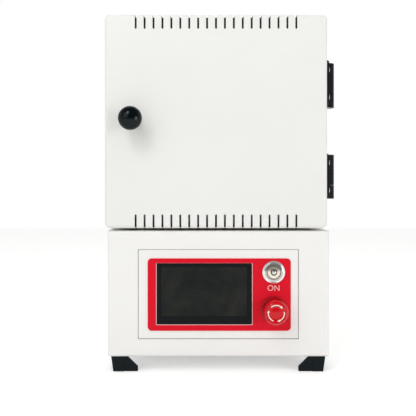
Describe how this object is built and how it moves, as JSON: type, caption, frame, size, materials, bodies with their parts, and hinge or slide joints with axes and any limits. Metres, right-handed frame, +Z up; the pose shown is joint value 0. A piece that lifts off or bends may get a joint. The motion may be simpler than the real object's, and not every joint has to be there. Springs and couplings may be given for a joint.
{
  "type": "muffle furnace",
  "caption": "Small bench-top muffle furnace: insulated chamber behind a side-hinged slotted door, on a control case with touch screen, start button and stop mushroom.",
  "frame": {"origin": "on the bench, below the middle of the whole outline: from the left side to the hinges, and from the knob to the mains switch", "axes": "+X to the right seen from the front, +Y towards the back (the door faces -Y), +Z up"},
  "size_m": [0.266, 0.344, 0.403],
  "materials": {
    "enamel_white": "fine-textured off-white powder coat",
    "control_plate_paint": "smooth off-white powder coat",
    "zinc_sheet": "zinc-plated sheet",
    "stainless": "brushed stainless sheet",
    "black_foot": "moulded black plastic",
    "hinge_black": "black-coated zinc die casting",
    "bright_steel": "turned bright steel",
    "fibre_board": "vacuum-formed alumina fibre board",
    "hearth": "silicon carbide plate",
    "gasket_rope": "woven ceramic rope",
    "heater_alloy": "oxidised resistance alloy",
    "ceramic_white": "glazed terminal ceramic",
    "probe_sheath": "alumina sheath with alloy head",
    "knob_black": "polished black phenolic",
    "magnet_black": "black magnet strip",
    "fascia_red": "gloss red printed overlay",
    "glass_black": "black touch glass",
    "black_plastic": "black moulded housing",
    "estop_red": "gloss red moulded head",
    "estop_collar_red": "red moulded collar",
    "aluminium_fins": "extruded aluminium",
    "relay_cream": "cream moulded housing"
  },
  "bodies": {
    "furnace": {"lower_case": "enamel_white", "base_plate": "enamel_white", "lower_rear_panel": "enamel_white", "foot_front_left": "black_foot", "foot_front_right": "black_foot", "foot_rear_left": "black_foot", "foot_rear_right": "black_foot", "casing_wrap": "enamel_white", "front_frame": "stainless", "rear_panel": "enamel_white", "support_rails": "zinc_sheet", "catch_magnet": "magnet_black", "inner_shell": "zinc_sheet", "muffle_floor": "fibre_board", "muffle_roof": "fibre_board", "muffle_left": "fibre_board", "muffle_right": "fibre_board", "muffle_rear": "fibre_board", "heating_element_left": "heater_alloy", "heating_element_right": "heater_alloy", "element_terminals": "ceramic_white", "thermocouple": "probe_sheath", "hearth_plate": "hearth", "hinge_leaf_casing_lower": "hinge_black", "hinge_leaf_casing_upper": "hinge_black", "hinge_pin_lower": "bright_steel", "hinge_pin_upper": "bright_steel", "control_plate": "control_plate_paint", "fascia": "fascia_red", "display_glass": "glass_black", "display_module": "black_plastic", "start_bezel": "bright_steel", "start_nut": "bright_steel", "start_contact_block": "black_plastic", "estop_collar": "estop_collar_red", "estop_nut": "black_plastic", "estop_contact_block": "black_plastic", "fan_frame": "black_plastic", "power_inlet": "black_plastic", "switch_body": "black_plastic", "heat_sink": "aluminium_fins", "solid_state_relay": "relay_cream", "power_supply": "zinc_sheet", "terminal_strip": "black_plastic"},
    "door": {"door_shell": "enamel_white", "door_inner_plate": "stainless", "door_insulation": "fibre_board", "door_plug": "fibre_board", "door_gasket": "gasket_rope", "catch_strike": "bright_steel", "door_knob": "knob_black", "knob_stud": "bright_steel", "hinge_leaf_door_lower": "hinge_black", "hinge_leaf_door_upper": "hinge_black"},
    "start_button": {"start_cap": "bright_steel"},
    "estop_stem": {"estop_plunger": "bright_steel"},
    "estop_mushroom": {"estop_head": "estop_red"},
    "fan": {"fan_rotor": "black_plastic"},
    "mains_rocker": {"switch_rocker": "knob_black"}
  },
  "joints": [
    {"name": "door_swing", "type": "hinge", "parent": "furnace", "child": "door", "pos_m": [0.1255, -0.09604, 0.283], "axis": [0, 0, 1], "range_deg": [0, 120]},
    {"name": "start_press", "type": "slide", "parent": "furnace", "child": "start_button", "axis": [0, 1, 0], "range_m": [0, 0.0025], "stiffness_N_per_m": 800, "springref_m": -0.002},
    {"name": "estop_press", "type": "slide", "parent": "furnace", "child": "estop_stem", "axis": [0, 1, 0], "range_m": [0, 0.0045]},
    {"name": "estop_twist", "type": "hinge", "parent": "estop_stem", "child": "estop_mushroom", "pos_m": [0.057, -0.14904, 0.0718], "axis": [0, 1, 0], "range_deg": [0, 45], "stiffness_Nm_per_rad": 0.05},
    {"name": "fan_spin", "type": "hinge", "parent": "furnace", "child": "fan", "pos_m": [-0.0753, 0.15096, 0.09], "axis": [0, 1, 0], "continuous": true},
    {"name": "mains_rocker_tilt", "type": "hinge", "parent": "furnace", "child": "mains_rocker", "pos_m": [0.0727, 0.16596, 0.104], "axis": [0, 0, 1], "range_deg": [-20, 0]}
  ]
}
